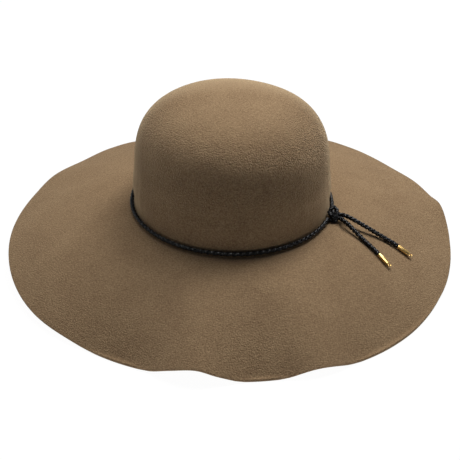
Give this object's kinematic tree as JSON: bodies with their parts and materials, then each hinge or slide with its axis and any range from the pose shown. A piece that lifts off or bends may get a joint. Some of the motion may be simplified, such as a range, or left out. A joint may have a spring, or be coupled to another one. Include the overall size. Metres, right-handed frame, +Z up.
{
  "type": "floppy felt hat",
  "caption": "Soft wide-brimmed felt hat with a rounded crown and a wavy drooping brim, worn on the head; a braided cord is knotted round the crown's foot and ends in capped tails.",
  "frame": {"origin": "on the surface the brim rests on, under the middle of the crown and brim", "axes": "+Z up out of the crown's top, -Y towards the front of the head, +X towards the wearer's left; the head's long axis is Y"},
  "size_m": [0.4157, 0.4211, 0.1604],
  "materials": {
    "felt": "pressed wool felt with a fine pebbled nap, taupe",
    "leather_cord": "black braided leather, satin",
    "brass_caps": "polished gold-coloured brass"
  },
  "bodies": {
    "root": {"felt_body": "felt", "band": "leather_cord", "knot": "leather_cord", "tail_upper": "leather_cord", "tail_lower": "leather_cord", "tip_upper": "brass_caps", "tip_lower": "brass_caps"}
  },
  "joints": []
}
